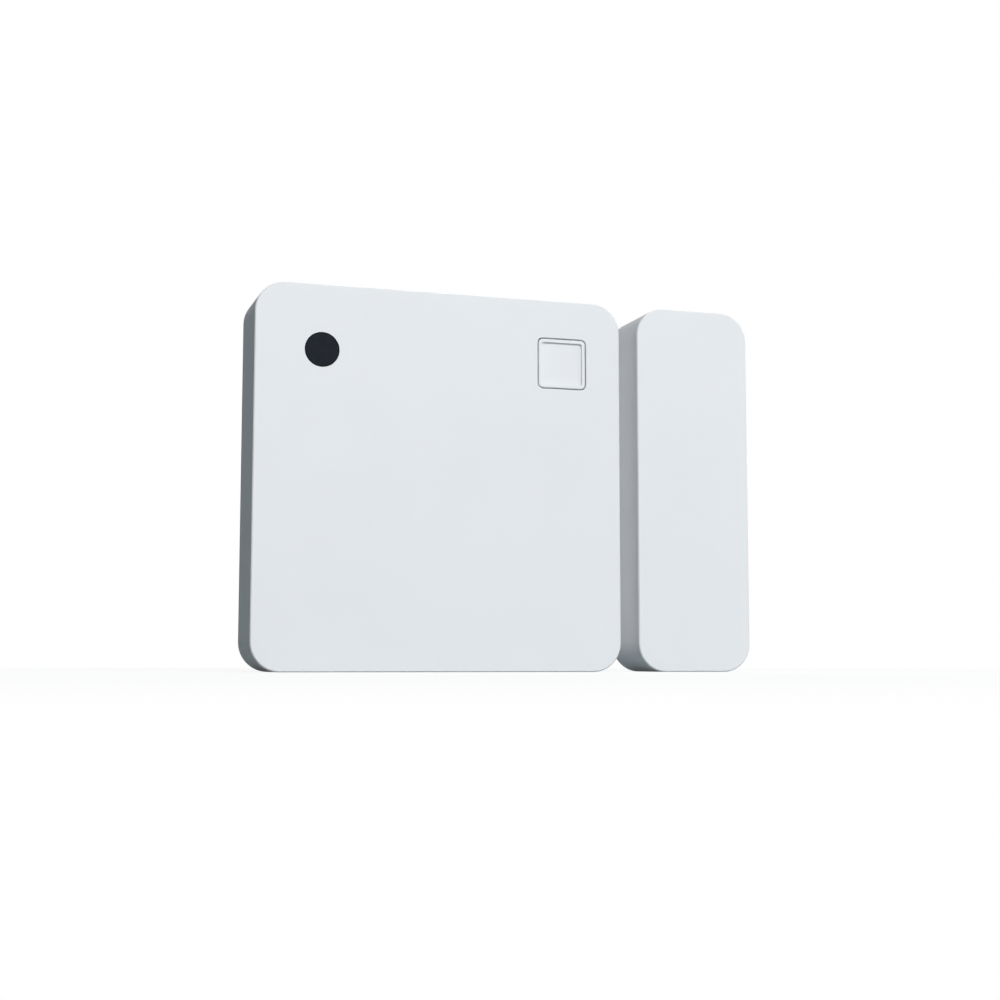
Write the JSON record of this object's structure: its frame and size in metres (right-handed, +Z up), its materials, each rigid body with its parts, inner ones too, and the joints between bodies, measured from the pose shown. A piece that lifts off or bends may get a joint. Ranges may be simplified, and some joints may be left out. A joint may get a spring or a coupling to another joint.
{
  "type": "door and window sensor with tilt sensing",
  "caption": "Square wall sensor unit with push button and dark light window, beside a slim magnet unit of the same height; coin cell slides out once the casing is pulled off.",
  "frame": {"origin": "centre of the outer face of the sensor unit's foam pad, on the wall plane", "axes": "+X to the viewer's right, towards the magnet unit; +Y into the wall; +Z up; the front faces -Y"},
  "size_m": [0.0498, 0.0078, 0.036],
  "materials": {
    "casing_white": "satin moulded, faint fine texture",
    "cover_white": "matte moulded",
    "window_dark": "smoked, polished",
    "board_green": "solder mask over glass fibre",
    "chip_black": "moulded epoxy",
    "tin_bright": "tinned",
    "clip_steel": "rolled strip",
    "can_steel": "nickel plated",
    "gasket_grey": "moulded",
    "pellet_dark": "pressed powder",
    "gold_contact": "gold plated",
    "ceramic_white": "fired ceramic",
    "ceramic_tan": "fired ceramic",
    "tantalum_yellow": "moulded",
    "switch_black": "moulded",
    "reed_tube": "drawn glass",
    "lens_clear": "clear epoxy",
    "magnet_grey": "sintered ferrite",
    "foam_grey": "foam tape"
  },
  "bodies": {
    "wall_base": {"back_cover": "cover_white", "sensor_pad": "foam_grey"},
    "sensor_housing": {"front_housing": "casing_white", "light_window": "window_dark", "circuit_board": "board_green", "switch_base": "switch_black", "switch_plate": "tin_bright", "switch_dome": "clip_steel", "switch_terminals": "tin_bright", "light_chip": "lens_clear", "status_lamp": "lens_clear", "radio_chip": "chip_black", "crystal": "tin_bright", "tilt_chip": "chip_black", "reservoir_capacitor": "tantalum_yellow", "chip_antenna": "ceramic_white", "chip_capacitors": "ceramic_tan", "chip_resistors": "chip_black", "reed_glass": "reed_tube", "reed_leads": "tin_bright", "cell_clip": "clip_steel", "negative_contact": "gold_contact"},
    "button": {"control_button": "casing_white"},
    "plunger": {"switch_plunger": "switch_black"},
    "cell": {"cell_can": "can_steel", "cell_gasket": "gasket_grey", "cell_cap": "can_steel", "cell_filling": "pellet_dark"},
    "magnet_unit": {"magnet_housing": "casing_white", "bar_magnet": "magnet_grey", "magnet_back_cover": "cover_white", "magnet_pad": "foam_grey"}
  },
  "joints": [
    {"name": "housing_pull", "type": "slide", "parent": "wall_base", "child": "sensor_housing", "axis": [0, -1, 0], "range_m": [0, 0.012]},
    {"name": "button_press", "type": "slide", "parent": "sensor_housing", "child": "button", "axis": [0, 1, 0], "range_m": [0, 0.00018], "stiffness_N_per_m": 8000},
    {"name": "plunger_press", "type": "slide", "parent": "sensor_housing", "child": "plunger", "axis": [0, 1, 0], "range_m": [0, 0.00018]},
    {"name": "cell_slide", "type": "slide", "parent": "sensor_housing", "child": "cell", "axis": [0, 0, 1], "range_m": [0, 0.0124]},
    {"name": "magnet_away", "type": "slide", "parent": "wall_base", "child": "magnet_unit", "axis": [1, 0, 0], "range_m": [0, 0.05]}
  ],
  "couplings": [
    {"joint": "plunger_press", "follows": "button_press", "ratio": 1}
  ]
}
